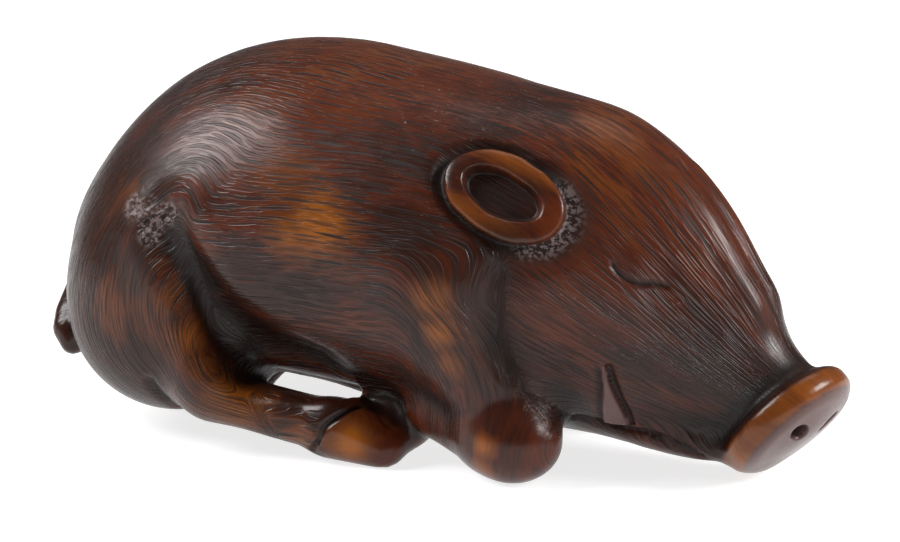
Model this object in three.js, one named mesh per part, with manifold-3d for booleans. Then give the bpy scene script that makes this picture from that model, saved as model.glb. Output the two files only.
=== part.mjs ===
// A netsuke: a sleeping wild boar carved from one piece of dark stained boxwood.
//
// The carving is one continuous solid, so it is described as a field, a function that says for any point
// about how far it lies outside the wood (below zero is inside). Round masses are blended into each other
// the way a carver rounds one form into the next, and creases are cut into the blend. The field is turned
// into a closed surface on a fine lattice, the surface is reduced to few faces, and its underside is cut flat.
//
// Millimetres. X runs from tail to snout, Y to the boar's left, Z up. The two sides mirror each other in Y,
// so every limb is described once, on the right side, where Y is negative. Only the tail lies to one side,
// and only the snout's disc is turned a little to the right.

import * as THREE from "three";
import { mergeVertices } from "three/addons/utils/BufferGeometryUtils.js";
import Module from "manifold-3d";

const { abs, min, max, sqrt, exp, sign, hypot } = Math;

// Driving dimensions

const REST_HEIGHT = 0.3; // height in the carving's frame at which the underside is cut flat
const MIDDLE_X = -1.08; // middle of the length in the carving's frame, which becomes the origin
const CELL = 0.42; // lattice spacing
const TRIANGLES = 9500; // faces kept
const DETAIL_REACH = 3; // how far from the surface the fine forms are still felt
const LATTICE = { low: [-28, -13.5, -1], high: [26, 13.5, 25] };

// Trunk: at, radii and pitch, nose down, of each round mass
const RUMP = { at: [-14.45, 0, 11.65], radii: [11.5, 11.0, 8.8], pitch: -25 };
const SEAT = { at: [-17.0, 0, 6.0], radii: [7.0, 7.0, 6.0], pitch: 0 };
const LOIN = { at: [-6.7, 0, 13.9], radii: [13.7, 11.2, 9.4], pitch: 9.3 };
const CHEST = { at: [2.7, 0, 12.0], radii: [11.5, 10.0, 9.8], pitch: 7.3 };
const BRISKET = { at: [-2.5, 0, 7.3], radii: [7.0, 6.6, 2.6], pitch: 4 };
const BELLY_FOLD = { from: [-10.0, -4.6, 6.2], to: [-3.0, -4.6, 4.9], r: [1.7, 1.5] };

// Head
const SKULL = { at: [9.0, 0, 12.1], radii: [9.9, 6.0, 8.3], pitch: 35 };
const NOSE_BRIDGE = { from: [9.3, 0, 17.3], to: [17.9, 0, 10.4], r: [2.3, 1.9] };
const MUZZLE = { from: [11.6, 0, 8.5], to: [20.65, 0, 5.5], r: [5.2, 2.56] };
const JAW = { at: [13.2, 0, 3.1], radii: [6.6, 3.4, 1.6], pitch: 9.5 };
const SNOUT = {
  at: [21.0, 0, 4.4],
  radius: 4.2,
  back: 0.7,
  front: 1.85,
  edge: 0.95,
  pitch: 42.5,
  yaw: -8,
  dome: 0.03,
};
const NOSTRIL = { side: 1.5, along: 2.2, up: 1.05, r: 0.45, depth: 0.9 };
const TUSK = { from: [11.85, -4.4, 4.0], to: [12.3, -6.25, 7.5], r: [0.75, 0.12] };
const EAR = {
  at: [6.45, 17.5],
  outer: [3.85, 2.5],
  inner: [2.4, 1.25],
  shift: [-0.18, -0.05], // of the inner oval in the outer one
  tilt: 20,
  rim: 0.35,
  moat: 0.45,
  hollow: 0.65,
};

// Legs
const HAUNCH = { at: [-16.2, -6.4, 8.2], radii: [7.1, 4.95, 6.5], pitch: -23.5 };
const SHIN = { from: [-15.2, -8.6, 13.6], to: [-12.0, -9.0, 5.4], r: [1.9, 2.2] };
const HIND_FOOT = { from: [-12.0, -8.8, 4.1], to: [-5.6, -7.9, 2.6], r: [2.1, 1.85] };
const HIND_HOOF = { from: [-4.7, -7.9, 2.45], to: [-1.45, -7.9, 1.35], r: [2.1, 1.2] };
const UPPER_ARM = { from: [2.2, -6.3, 11.5], to: [6.2, -6.6, 4.2], r: [4.0, 2.5] };
const KNEE = { at: [6.75, -7.2, 2.8], radii: [3.1, 2.6, 2.6], pitch: 0 };
const FORE_FOOT = { from: [4.9, -6.3, 3.1], to: [1.0, -5.7, 3.5], r: [2.5, 1.6] };
const FORE_HOOF = { at: [-1.1, -5.7, 2.3], radii: [1.7, 1.3, 1.35], pitch: 0 };

// Tail: points over the rump, each with the tail's radius there
const TAIL = [
  [[-24.1, 1.0, 14.0], 0.6],
  [[-25.15, 1.0, 11.8], 0.75],
  [[-25.6, 0.3, 9.6], 0.9],
  [[-25.25, -1.7, 8.1], 0.9],
  [[-24.5, -3.8, 7.4], 0.9],
  [[-24.15, -5.5, 6.3], 0.95],
  [[-23.85, -6.3, 5.6], 0.95],
  [[-23.35, -6.6, 4.9], 0.8],
];

// Valleys cut between limb and body: points on the valley floor, each with its radius
const FLANK_VALLEY = [
  [[-14.6, -11.9, 15.2], 0.15],
  [[-11.6, -10.6, 9.2], 1.0],
  [[-9.4, -8.8, 6.0], 1.5],
  [[-6.5, -7.6, 5.4], 0.8],
];
const CHEEK_VALLEY = [
  [[6.3, -11.2, 15.5], 0.2],
  [[6.6, -11.0, 12.0], 0.9],
  [[7.4, -10.2, 9.0], 1.2],
  [[9.6, -9.3, 6.4], 1.2],
  [[12.6, -8.6, 3.6], 1.2],
];
// The slit between the belly and the hind foot, which goes right through
const LEG_SLIT = { at: [-7.0, -6.6, 4.35], half: [3.3, 2.2, 0.4], pitch: 4, roll: -15, edge: 0.35 };
// The hollow under the belly, between the hind legs
const BELLY_HOLLOW = { at: [-11.5, 0, 2.4], radii: [4.4, 5.2, 2.4], pitch: 0 };

// Cut lines: points that the line passes, its half width and its depth
const EYE_LINE = {
  on: [[12.6, 14.05], [13.05, 13.25], [13.9, 12.66], [14.9, 12.58], [15.75, 12.3]],
  width: 0.27,
  depth: 0.35,
};
const MOUTH_LINE = {
  points: [[9.3, -4.6, 3.7], [12.5, -3.7, 3.4], [15.5, -3.1, 2.4], [16.8, -2.3, 1.6]],
  width: 0.32,
  depth: 0.5,
};
const TUSK_LINE = { points: [[12.6, -6.3, 7.7], [13.05, -5.5, 6.0], [12.95, -4.2, 3.8]], width: 0.32, depth: 0.45 };
const FETLOCK_LINE = {
  points: [[-3.0, -6.6, 3.6], [-3.2, -8.6, 3.5], [-4.2, -9.7, 2.4], [-5.4, -9.2, 0.9]],
  width: 0.36,
  depth: 0.45,
};
const HOOF_LINE = { points: [[-2.1, -7.9, 3.2], [-1.2, -8.0, 2.6], [-0.2, -7.9, 1.3]], width: 0.3, depth: 0.35 };
const HOCK_LINE = { points: [[-16.0, -10.6, 5.6], [-14.7, -10.4, 3.7], [-13.6, -9.8, 2.3]], width: 0.35, depth: 0.4 };
const LEG_LINE = { on: [[7.3, 14.6], [7.0, 12.2], [7.0, 8.6], [8.2, 6.6]], width: 1.0, depth: 0.45 };
const NOSE_LINE = { points: [[14.0, 0, 18.4], [17.3, 0, 15.4], [19.2, 0, 12.5], [20.6, 0, 9.8]], reach: 2.6 };
const NOSE_RIDGE = { apart: 1.1, height: 0.2, width: 0.5, groove: 0.3 };

// Vector helpers on plain arrays

const minus = (a, b) => [a[0] - b[0], a[1] - b[1], a[2] - b[2]];
const dot = (a, b) => a[0] * b[0] + a[1] * b[1] + a[2] * b[2];
const cross = (a, b) => [a[1] * b[2] - a[2] * b[1], a[2] * b[0] - a[0] * b[2], a[0] * b[1] - a[1] * b[0]];
const scaled = (a, s) => [a[0] * s, a[1] * s, a[2] * s];
const unit = (a) => scaled(a, 1 / max(hypot(...a), 1e-12));
const radians = THREE.MathUtils.degToRad;
const smoothstep = THREE.MathUtils.smoothstep;

// Blends: the smaller or the larger of two distances, rounded over where they are within k of each other

const blend = (a, b, k) => {
  const h = max(k - abs(a - b), 0) / k;
  return min(a, b) - (h * h * k) / 4;
};
const carve = (a, b, k) => -blend(-a, b, k);

// Round masses: each maker returns a function of a point that gives the distance to its surface

function ellipsoid({ at, radii, pitch }) {
  const c = Math.cos(radians(pitch));
  const s = Math.sin(radians(pitch));
  return ([px, py, pz]) => {
    const dx = px - at[0];
    const dz = pz - at[2];
    const x = (dx * c - dz * s) / radii[0];
    const y = (py - at[1]) / radii[1];
    const z = (dx * s + dz * c) / radii[2];
    const size = hypot(x, y, z);
    return (size * (size - 1)) / max(hypot(x / radii[0], y / radii[1], z / radii[2]), 1e-6);
  };
}

// A cone with round ends, from one sphere to another
function limb({ from, to, r }) {
  const axis = minus(to, from);
  const length2 = dot(axis, axis);
  const taper = r[0] - r[1];
  const slope2 = length2 - taper * taper;
  return (p) => {
    const v = minus(p, from);
    const y = dot(v, axis);
    const z = y - length2;
    const w = [v[0] * length2 - axis[0] * y, v[1] * length2 - axis[1] * y, v[2] * length2 - axis[2] * y];
    const x2 = dot(w, w);
    const y2 = y * y * length2;
    const z2 = z * z * length2;
    const k = sign(taper) * taper * taper * x2;
    if (sign(z) * slope2 * z2 > k) return sqrt(x2 + z2) / length2 - r[1];
    if (sign(y) * slope2 * y2 < k) return sqrt(x2 + y2) / length2 - r[0];
    return (sqrt(x2 * slope2 * (1 / length2)) + y * taper) / length2 - r[0];
  };
}

// Limbs joined end to end
function chain(stations) {
  const limbs = stations.slice(1).map(([to, r], i) => limb({ from: stations[i][0], to, r: [stations[i][1], r] }));
  return (p) => min(...limbs.map((d) => d(p)));
}

// A point in the snout's own axes: out through its face, to the boar's left across it, and up it
function snoutPlace([px, py, pz]) {
  const { at, pitch, yaw } = SNOUT;
  const c = Math.cos(radians(pitch));
  const s = Math.sin(radians(pitch));
  const cy = Math.cos(radians(yaw));
  const sy = Math.sin(radians(yaw));
  const [dx, dy, dz] = [px - at[0], py - at[1], pz - at[2]];
  const ahead = dx * cy + dy * sy;
  return [ahead * c - dz * s, dy * cy - dx * sy, ahead * s + dz * c];
}

// The flat disc of the snout with a rounded rim and a slightly domed face
function disc({ radius, back, front, edge, dome }) {
  const middle = (front - back) / 2;
  const half = (front + back) / 2;
  const domeStart = 1.2;
  return (p) => {
    const [x, y, z] = snoutPlace(p);
    const across = hypot(y, z);
    const along = x + dome * across * across * min(max(x / domeStart, 0), 1);
    const a = abs(along - middle) - half + edge;
    const b = across - radius + edge;
    return min(max(a, b), 0) + hypot(max(a, 0), max(b, 0)) - edge;
  };
}

// A flat slab with rounded edges, pitched about Y and then rolled about X
function slab({ at, half, pitch, roll, edge }) {
  const cp = Math.cos(radians(pitch));
  const sp = Math.sin(radians(pitch));
  const cr = Math.cos(radians(roll));
  const sr = Math.sin(radians(roll));
  return ([px, py, pz]) => {
    const [dx, dy, dz] = [px - at[0], py - at[1], pz - at[2]];
    const up = dx * sp + dz * cp;
    const a = abs(dx * cp - dz * sp) - half[0] + edge;
    const b = abs(dy * cr + up * sr) - half[1] + edge;
    const c = abs(up * cr - dy * sr) - half[2] + edge;
    return hypot(max(a, 0), max(b, 0), max(c, 0)) + min(max(a, b, c), 0) - edge;
  };
}

// The boar's form before its fine lines are cut

const rump = ellipsoid(RUMP);
const seat = ellipsoid(SEAT);
const loin = ellipsoid(LOIN);
const chest = ellipsoid(CHEST);
const brisket = ellipsoid(BRISKET);
const bellyFold = limb(BELLY_FOLD);
const skull = ellipsoid(SKULL);
const noseBridge = limb(NOSE_BRIDGE);
const muzzle = limb(MUZZLE);
const jaw = ellipsoid(JAW);
const snout = disc(SNOUT);
const haunch = ellipsoid(HAUNCH);
const shin = limb(SHIN);
const hindFoot = limb(HIND_FOOT);
const hindHoof = limb(HIND_HOOF);
const upperArm = limb(UPPER_ARM);
const knee = ellipsoid(KNEE);
const foreFoot = limb(FORE_FOOT);
const foreHoof = ellipsoid(FORE_HOOF);
const tail = chain(TAIL);
const flankValley = chain(FLANK_VALLEY);
const cheekValley = chain(CHEEK_VALLEY);
const legSlit = slab(LEG_SLIT);
const bellyHollow = ellipsoid(BELLY_HOLLOW);

function trunk(p) {
  let d = blend(rump(p), seat(p), 1.5);
  d = blend(d, loin(p), 4);
  d = blend(d, chest(p), 4);
  return blend(d, brisket(p), 2);
}

function head(p) {
  let d = blend(skull(p), noseBridge(p), 3);
  d = blend(d, muzzle(p), 3);
  return blend(d, jaw(p), 1.5);
}

function hindLeg(p) {
  let d = blend(haunch(p), shin(p), 2);
  d = blend(d, hindFoot(p), 2);
  return blend(d, hindHoof(p), 0.5);
}

function foreLeg(p) {
  let d = blend(upperArm(p), knee(p), 0.8);
  d = blend(d, foreFoot(p), 1);
  return blend(d, foreHoof(p), 0.5);
}

// Folds the left side onto the right, rounded a little at the middle so that the halves meet smoothly
const MIRROR_ROUNDING = 0.2;
const rightSide = (p) => [p[0], -hypot(p[1], MIRROR_ROUNDING), p[2]];

function mass(p) {
  const q = rightSide(p);
  let d = blend(trunk(q), head(q), 3);
  d = blend(d, snout(p), 1.2);
  d = blend(d, hindLeg(q), 1.6);
  d = carve(d, flankValley(q), 2.6);
  d = blend(d, bellyFold(q), 1.5);
  d = blend(d, foreLeg(q), 2.0);
  d = carve(d, cheekValley(q), 1.0);
  d = carve(d, bellyHollow(q), 1.0);
  return carve(d, legSlit(q), 0.5);
}

// Finds the right side's surface at a given X and Z, coming in along Y
function landing([x, z]) {
  let out = -14;
  let inside = -0.5;
  for (let y = out; y < inside; y += 0.2) {
    if (mass([x, y, z]) < 0) {
      inside = y;
      break;
    }
    out = y;
  }
  for (let i = 0; i < 20; i++) {
    const y = (out + inside) / 2;
    if (mass([x, y, z]) < 0) inside = y;
    else out = y;
  }
  return [x, inside, z];
}

function outward(p, field) {
  const e = 0.05;
  const slope = [0, 1, 2].map((i) => {
    const a = p.slice();
    const b = p.slice();
    a[i] += e;
    b[i] -= e;
    return field(a) - field(b);
  });
  return unit(slope);
}

// Cut lines: how deep each cuts at a point. The line is a smooth curve through its points.

function curvePoints(points, count) {
  const curve = new THREE.CatmullRomCurve3(points.map((p) => new THREE.Vector3(...p)), false, "catmullrom", 0.5);
  return curve.getPoints(count).map((v) => v.toArray());
}

function distanceToPath(path) {
  const spans = path.slice(1).map((b, i) => ({ a: path[i], d: minus(b, path[i]) }));
  return (p) => {
    let best = Infinity;
    for (const { a, d } of spans) {
      const v = minus(p, a);
      const t = min(max(dot(v, d) / dot(d, d), 0), 1);
      best = min(best, hypot(v[0] - d[0] * t, v[1] - d[1] * t, v[2] - d[2] * t));
    }
    return best;
  };
}

function cutLine({ points, on, width, depth }) {
  const distance = distanceToPath(curvePoints(points ?? on.map(landing), 12));
  return (p) => depth * exp(-((distance(p) / width) ** 2));
}

const cuts = [EYE_LINE, MOUTH_LINE, TUSK_LINE, FETLOCK_LINE, HOOF_LINE, HOCK_LINE, LEG_LINE].map(cutLine);
const tusk = limb(TUSK);

// The ear is an oval ring lying on the neck: a raised rim, a sunk middle and a cut channel round it
function earCut({ at, outer, inner, shift, tilt, rim, moat, hollow }) {
  const centre = landing(at);
  const normal = outward(centre, mass);
  const lean = [Math.cos(radians(tilt)), 0, -Math.sin(radians(tilt))];
  const long = unit(minus(lean, scaled(normal, dot(lean, normal))));
  const short = cross(normal, long);
  return (p) => {
    const v = minus(p, centre);
    const [along, across] = [dot(v, long), dot(v, short)];
    const e = hypot(along / outer[0], across / outer[1]);
    const inRim = smoothstep(hypot((along - shift[0]) / inner[0], (across - shift[1]) / inner[1]), 0.85, 1.2);
    const outRim = smoothstep(e, 0.93, 1.07);
    const faded = smoothstep(e, 1.08, 1.36);
    const near = 1 - smoothstep(abs(dot(v, normal)), 3, 5);
    return near * (hollow * (1 - inRim) - rim * inRim * (1 - outRim) + moat * outRim * (1 - faded));
  };
}
const ear = earCut(EAR);

// Two low ridges run down the nose with a groove between them
const noseDistance = distanceToPath(NOSE_LINE.points);
function noseCut(p) {
  const { apart, height, width, groove } = NOSE_RIDGE;
  const near = 1 - smoothstep(noseDistance(p), NOSE_LINE.reach / 2, NOSE_LINE.reach);
  const side = abs(p[1]);
  const ridge = height * exp(-(((side - apart) / width) ** 2));
  return near * (groove * exp(-((side / width) ** 2)) - ridge);
}

// Nostrils are drilled into the snout's face
function nostrilHole({ side, along, up, r, depth }) {
  const hole = limb({ from: [along - depth, side, up], to: [along + 1, side, up], r: [r, r + 0.01] });
  return (p) => {
    const [x, y, z] = snoutPlace(p);
    return hole([x, abs(y), z]);
  };
}
const nostril = nostrilHole(NOSTRIL);

// The whole carving
function boar(p) {
  const q = rightSide(p);
  let d = mass(p);
  if (abs(d) > DETAIL_REACH) return d;
  d = blend(d, tusk(q), 0.15);
  for (const cut of cuts) d += cut(q);
  d += ear(q) + noseCut(q);
  d = carve(d, nostril(p), 0.1);
  return blend(d, tail(p), 0.5);
}

// Surface of a field on a lattice. Each lattice cell is split into six tetrahedra round its long diagonal,
// and each tetrahedron that the surface crosses gives one or two triangles, so the surface is always closed.

const TETRAHEDRA = [[0, 1, 3, 7], [0, 3, 2, 7], [0, 2, 6, 7], [0, 6, 4, 7], [0, 4, 5, 7], [0, 5, 1, 7]];
const ONE_CORNER = [[0, 1, 2, 3], [1, 0, 3, 2], [2, 0, 1, 3], [3, 0, 2, 1]];
const TWO_CORNERS = [[0, 1, 2, 3], [0, 2, 3, 1], [0, 3, 1, 2], [1, 2, 0, 3], [1, 3, 2, 0], [2, 3, 0, 1]];

function surfaceOf(field, { low, high }, cell) {
  const n = low.map((v, i) => Math.ceil((high[i] - v) / cell) + 1);
  const values = new Float64Array(n[0] * n[1] * n[2]);
  const place = (i) => [
    low[0] + cell * (i % n[0]),
    low[1] + cell * (Math.floor(i / n[0]) % n[1]),
    low[2] + cell * Math.floor(i / (n[0] * n[1])),
  ];
  for (let i = 0; i < values.length; i++) values[i] = field(place(i));
  const step = [1, n[0], n[0] * n[1]];
  const corner = [0, 1, 2, 3, 4, 5, 6, 7].map((c) => (c & 1) * step[0] + ((c >> 1) & 1) * step[1] + (c >> 2) * step[2]);
  const vertices = [];
  const faces = [];
  const made = new Map();
  const crossing = (a, b) => {
    const [i, j] = a < b ? [a, b] : [b, a];
    const key = i * 8 + corner.indexOf(j - i);
    if (!made.has(key)) {
      const t = min(max(values[i] / (values[i] - values[j]), 0.03), 0.97);
      const from = place(i);
      const to = place(j);
      made.set(key, vertices.length);
      vertices.push(from.map((v, k) => v + t * (to[k] - v)));
    }
    return made.get(key);
  };
  const addFace = (a, b, c, flip) => faces.push(flip ? [a, c, b] : [a, b, c]);
  for (let z = 0; z < n[2] - 1; z++)
    for (let y = 0; y < n[1] - 1; y++)
      for (let x = 0; x < n[0] - 1; x++) {
        const base = x + y * step[1] + z * step[2];
        const first = values[base] < 0;
        if (corner.every((c) => values[base + c] < 0 === first)) continue;
        for (const tetrahedron of TETRAHEDRA) {
          const v = tetrahedron.map((c) => base + corner[c]);
          const inside = v.map((i) => values[i] < 0);
          const count = inside.filter(Boolean).length;
          if (count === 1 || count === 3) {
            const odd = inside.indexOf(count === 1);
            const [i, j, k, l] = ONE_CORNER[odd].map((c) => v[c]);
            addFace(crossing(i, j), crossing(i, k), crossing(i, l), count === 3);
          } else if (count === 2) {
            const order = TWO_CORNERS.find(([a, b]) => inside[a] && inside[b]);
            const [i, j, k, l] = order.map((c) => v[c]);
            const ring = [crossing(i, k), crossing(i, l), crossing(j, l), crossing(j, k)];
            addFace(ring[0], ring[1], ring[2], false);
            addFace(ring[0], ring[2], ring[3], false);
          }
        }
      }
  return { vertices, faces };
}

// Moves each vertex along the field's slope onto the surface
function settled({ vertices, faces }, field, furthest) {
  const onSurface = vertices.map((start) => {
    let p = start;
    for (let i = 0; i < 3; i++) {
      const d = min(max(field(p), -furthest), furthest);
      p = minus(p, scaled(outward(p, field), d / 2));
    }
    return hypot(...minus(p, start)) < furthest ? p : start;
  });
  return { vertices: onSurface, faces };
}

// Reduces a closed surface to a number of triangles by joining, again and again, the two ends of the edge
// whose loss moves the surface least, measured by the sum of squared distances to the planes met there.

function planeSum(sum, n, d, weight) {
  const p = [n[0], n[1], n[2], d];
  let k = 0;
  for (let i = 0; i < 4; i++) for (let j = i; j < 4; j++) sum[k++] += weight * p[i] * p[j];
}

const planeError = (s, [x, y, z]) =>
  s[0] * x * x + s[4] * y * y + s[7] * z * z + s[9] +
  2 * (s[1] * x * y + s[2] * x * z + s[3] * x + s[5] * y * z + s[6] * y + s[8] * z);

function bestPoint(s, fallback) {
  const m = new THREE.Matrix3().set(s[0], s[1], s[2], s[1], s[4], s[5], s[2], s[5], s[7]);
  const size = s[0] + s[4] + s[7];
  if (abs(m.determinant()) < 1e-4 * size ** 3) return fallback;
  return new THREE.Vector3(-s[3], -s[6], -s[8]).applyMatrix3(m.invert()).toArray();
}

class Heap {
  constructor() {
    this.items = [];
  }
  push(item) {
    const a = this.items;
    let i = a.push(item) - 1;
    while (i > 0) {
      const parent = (i - 1) >> 1;
      if (a[parent].cost <= item.cost) break;
      a[i] = a[parent];
      i = parent;
    }
    a[i] = item;
  }
  pop() {
    const a = this.items;
    const top = a[0];
    const last = a.pop();
    const n = a.length;
    let i = 0;
    while (n > 0) {
      let child = 2 * i + 1;
      if (child >= n) break;
      if (child + 1 < n && a[child + 1].cost < a[child].cost) child++;
      if (a[child].cost >= last.cost) break;
      a[i] = a[child];
      i = child;
    }
    if (n > 0) a[i] = last;
    return top;
  }
}

function reduced({ vertices, faces }, target) {
  const around = vertices.map(() => new Set());
  const sums = vertices.map(() => new Float64Array(10));
  const stamp = new Int32Array(vertices.length);
  const normalOf = (f, moved, to) => {
    const [a, b, c] = faces[f].map((v) => (v === moved ? to : vertices[v]));
    return cross(minus(b, a), minus(c, a));
  };
  faces.forEach((face, f) => {
    const area = normalOf(f);
    const n = unit(area);
    for (const v of face) {
      around[v].add(f);
      planeSum(sums[v], n, -dot(n, vertices[v]), hypot(...area));
    }
  });
  const neighbours = (v) => new Set([...around[v]].flatMap((f) => faces[f]).filter((w) => w !== v));
  const heap = new Heap();
  const offer = (a, b) => {
    const s = sums[a].map((v, i) => v + sums[b][i]);
    const middle = scaled([0, 1, 2].map((i) => vertices[a][i] + vertices[b][i]), 0.5);
    const length = hypot(...minus(vertices[a], vertices[b]));
    let to = bestPoint(s, middle);
    if (hypot(...minus(to, middle)) > length) to = middle;
    const cost = max(planeError(s, to), 0) + 1e-7 * length * length;
    heap.push({ cost, a, b, to, stampA: stamp[a], stampB: stamp[b] });
  };
  vertices.forEach((_, a) => {
    for (const b of neighbours(a)) if (a < b) offer(a, b);
  });
  const FLIP_LIMIT = 0.2; // smallest cosine by which a face may turn when an edge is joined
  const turnsOver = (v, other, to) =>
    [...around[v]].some((f) => {
      if (faces[f].includes(other)) return false;
      const before = normalOf(f);
      const after = normalOf(f, v, to);
      return dot(before, after) < FLIP_LIMIT * hypot(...before) * hypot(...after) + 1e-12;
    });
  let left = faces.length;
  while (left > target) {
    const { a, b, to, stampA, stampB } = heap.pop();
    if (stamp[a] !== stampA || stamp[b] !== stampB) continue;
    const nearB = neighbours(b);
    const shared = [...neighbours(a)].filter((v) => nearB.has(v));
    if (shared.length !== 2 || turnsOver(a, b, to) || turnsOver(b, a, to)) continue;
    for (const f of [...around[b]]) {
      if (faces[f].includes(a)) {
        for (const v of faces[f]) around[v].delete(f);
        faces[f] = null;
        left--;
      } else {
        faces[f] = faces[f].map((v) => (v === b ? a : v));
        around[a].add(f);
      }
    }
    around[b].clear();
    vertices[a] = to;
    sums[a] = sums[a].map((v, i) => v + sums[b][i]);
    stamp[a]++;
    stamp[b] = -1;
    for (const v of neighbours(a)) offer(a, v);
  }
  return { vertices, faces: faces.filter(Boolean) };
}

// Solids for joining and cutting

const wasm = await Module();
wasm.setup();

function solidOf(geometry) {
  const bare = geometry.clone();
  bare.deleteAttribute("normal");
  bare.deleteAttribute("uv");
  const merged = mergeVertices(bare);
  const mesh = new wasm.Mesh({
    numProp: 3,
    vertProperties: new Float32Array(merged.attributes.position.array),
    triVerts: new Uint32Array(merged.index.array),
  });
  return new wasm.Manifold(mesh);
}

function geometryOf({ vertices, faces }) {
  const geometry = new THREE.BufferGeometry();
  geometry.setAttribute("position", new THREE.Float32BufferAttribute(vertices.flat(), 3));
  geometry.setIndex(faces.flat());
  return geometry;
}

function carvedGeometry() {
  const fine = settled(surfaceOf(boar, LATTICE, CELL), boar, CELL / 3);
  const form = geometryOf(reduced(fine, TRIANGLES));
  form.translate(-MIDDLE_X, 0, -REST_HEIGHT);
  const deep = 10;
  const table = new THREE.BoxGeometry(80, 60, deep).translate(0, 0, -deep / 2);
  const mesh = solidOf(form).subtract(solidOf(table)).getMesh();
  const geometry = new THREE.BufferGeometry();
  geometry.setAttribute("position", new THREE.BufferAttribute(mesh.vertProperties, 3));
  geometry.setIndex(new THREE.BufferAttribute(mesh.triVerts, 1));
  geometry.computeVertexNormals();
  return geometry;
}

const stainedBoxwood = new THREE.MeshStandardMaterial({ color: 0x4a2415, roughness: 0.38, metalness: 0 });
const carving = new THREE.Mesh(carvedGeometry(), stainedBoxwood);
carving.name = "boar";

const netsuke = new THREE.Group();
netsuke.name = "netsuke";
netsuke.add(carving);

export default netsuke;
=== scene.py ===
# %% [markdown]
# A netsuke: a sleeping wild boar carved from one piece of dark stained boxwood.
#
# The object is a single carved solid about 51 mm long, so it is one piece here too. The lesson goes the way
# a carver works: first the camera and the block, then the round masses, then the ear, eye, mouth, tusk and
# hooves, then the engraved hair, and last the stain, the wear and the wax.

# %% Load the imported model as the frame
import math
import time
import bmesh
import bpy
import numpy as np
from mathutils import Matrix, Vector


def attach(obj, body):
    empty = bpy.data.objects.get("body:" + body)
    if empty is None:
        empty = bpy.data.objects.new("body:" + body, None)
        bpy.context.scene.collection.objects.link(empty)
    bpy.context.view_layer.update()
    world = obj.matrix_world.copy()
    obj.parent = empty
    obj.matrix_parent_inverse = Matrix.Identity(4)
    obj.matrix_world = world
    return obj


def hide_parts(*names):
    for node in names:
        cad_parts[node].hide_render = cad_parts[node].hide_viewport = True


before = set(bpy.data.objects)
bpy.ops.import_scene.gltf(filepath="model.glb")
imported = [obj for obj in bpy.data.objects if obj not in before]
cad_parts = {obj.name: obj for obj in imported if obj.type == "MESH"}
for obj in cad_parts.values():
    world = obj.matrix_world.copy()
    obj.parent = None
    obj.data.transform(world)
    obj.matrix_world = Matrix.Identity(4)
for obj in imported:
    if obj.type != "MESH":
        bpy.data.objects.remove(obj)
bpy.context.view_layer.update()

MM = 0.001
started = time.time()

# %% [markdown]
# The carving's sizes are given in the carver's own frame, in millimetres, with the middle of the boar near
# the origin and the table it stands on at zero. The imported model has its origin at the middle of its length
# and its underside cut 0.3 mm higher, so one shift carries points from the carver's frame into the model's.

# %% From the carver's frame to the model's
MIDDLE_X = -1.08
REST_HEIGHT = 0.3
SHIFT = np.array([-MIDDLE_X, 0, -REST_HEIGHT])


def placed(point_mm):
    return Vector((np.array(point_mm) + SHIFT) * MM)


# %% [markdown]
# The camera comes first, because every later choice is judged through it. The photograph was taken with a
# long lens from the boar's front right, a little above it. A camera 420 mm away with a 282 mm lens gives
# the same gentle perspective and puts the boar where the photograph has it.

# %% Camera
CAMERA_AZIMUTH = math.radians(28)
CAMERA_ELEVATION = math.radians(14)
CAMERA_DISTANCE = 420
PIXELS_PER_MM = 16.8
PICTURE_WIDTH = 900
SENSOR_WIDTH = 36
LOOK_AT = placed((-1.12, 0, 10.4))

camera_data = bpy.data.cameras.new("camera")
camera_data.sensor_width = SENSOR_WIDTH
camera_data.lens = CAMERA_DISTANCE * PIXELS_PER_MM * SENSOR_WIDTH / PICTURE_WIDTH
camera_data.clip_start = 0.01
camera_data.clip_end = 20
camera = bpy.data.objects.new("camera", camera_data)
bpy.context.collection.objects.link(camera)
towards_camera = Vector((
    math.sin(CAMERA_AZIMUTH) * math.cos(CAMERA_ELEVATION),
    -math.cos(CAMERA_AZIMUTH) * math.cos(CAMERA_ELEVATION),
    math.sin(CAMERA_ELEVATION),
))
camera.location = LOOK_AT + towards_camera * CAMERA_DISTANCE * MM
camera.rotation_euler = (-towards_camera).to_track_quat("-Z", "Y").to_euler()
bpy.context.scene.camera = camera
print("lens, mm:", round(camera_data.lens, 1))

# %% [markdown]
# The masses. A carver rounds one form into the next, and a field does the same: for any point it says about
# how far that point lies outside the wood. The smaller of two distances joins two forms, and rounding that
# choice where the two are nearly equal gives the soft join. These are the forms that the solid is made of, so
# the fine surface settles exactly on the same body. Every limb is described on the right side, where Y is
# negative, and the left side mirrors it.

# %% Blends and round masses
def blend(a, b, k):
    h = np.maximum(k - np.abs(a - b), 0) / k
    return np.minimum(a, b) - h * h * k / 4


def carve(a, b, k):
    return -blend(-a, b, k)


def turned(p, at, pitch):
    x, y, z = (p - np.array(at)).T
    c, s = math.cos(math.radians(pitch)), math.sin(math.radians(pitch))
    return x * c - z * s, y, x * s + z * c


def ellipsoid(p, at, radii, pitch=0):
    x, y, z = (v / r for v, r in zip(turned(p, at, pitch), radii))
    size = np.sqrt(x * x + y * y + z * z)
    steep = np.sqrt((x / radii[0]) ** 2 + (y / radii[1]) ** 2 + (z / radii[2]) ** 2)
    return size * (size - 1) / np.maximum(steep, 1e-6)


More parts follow.
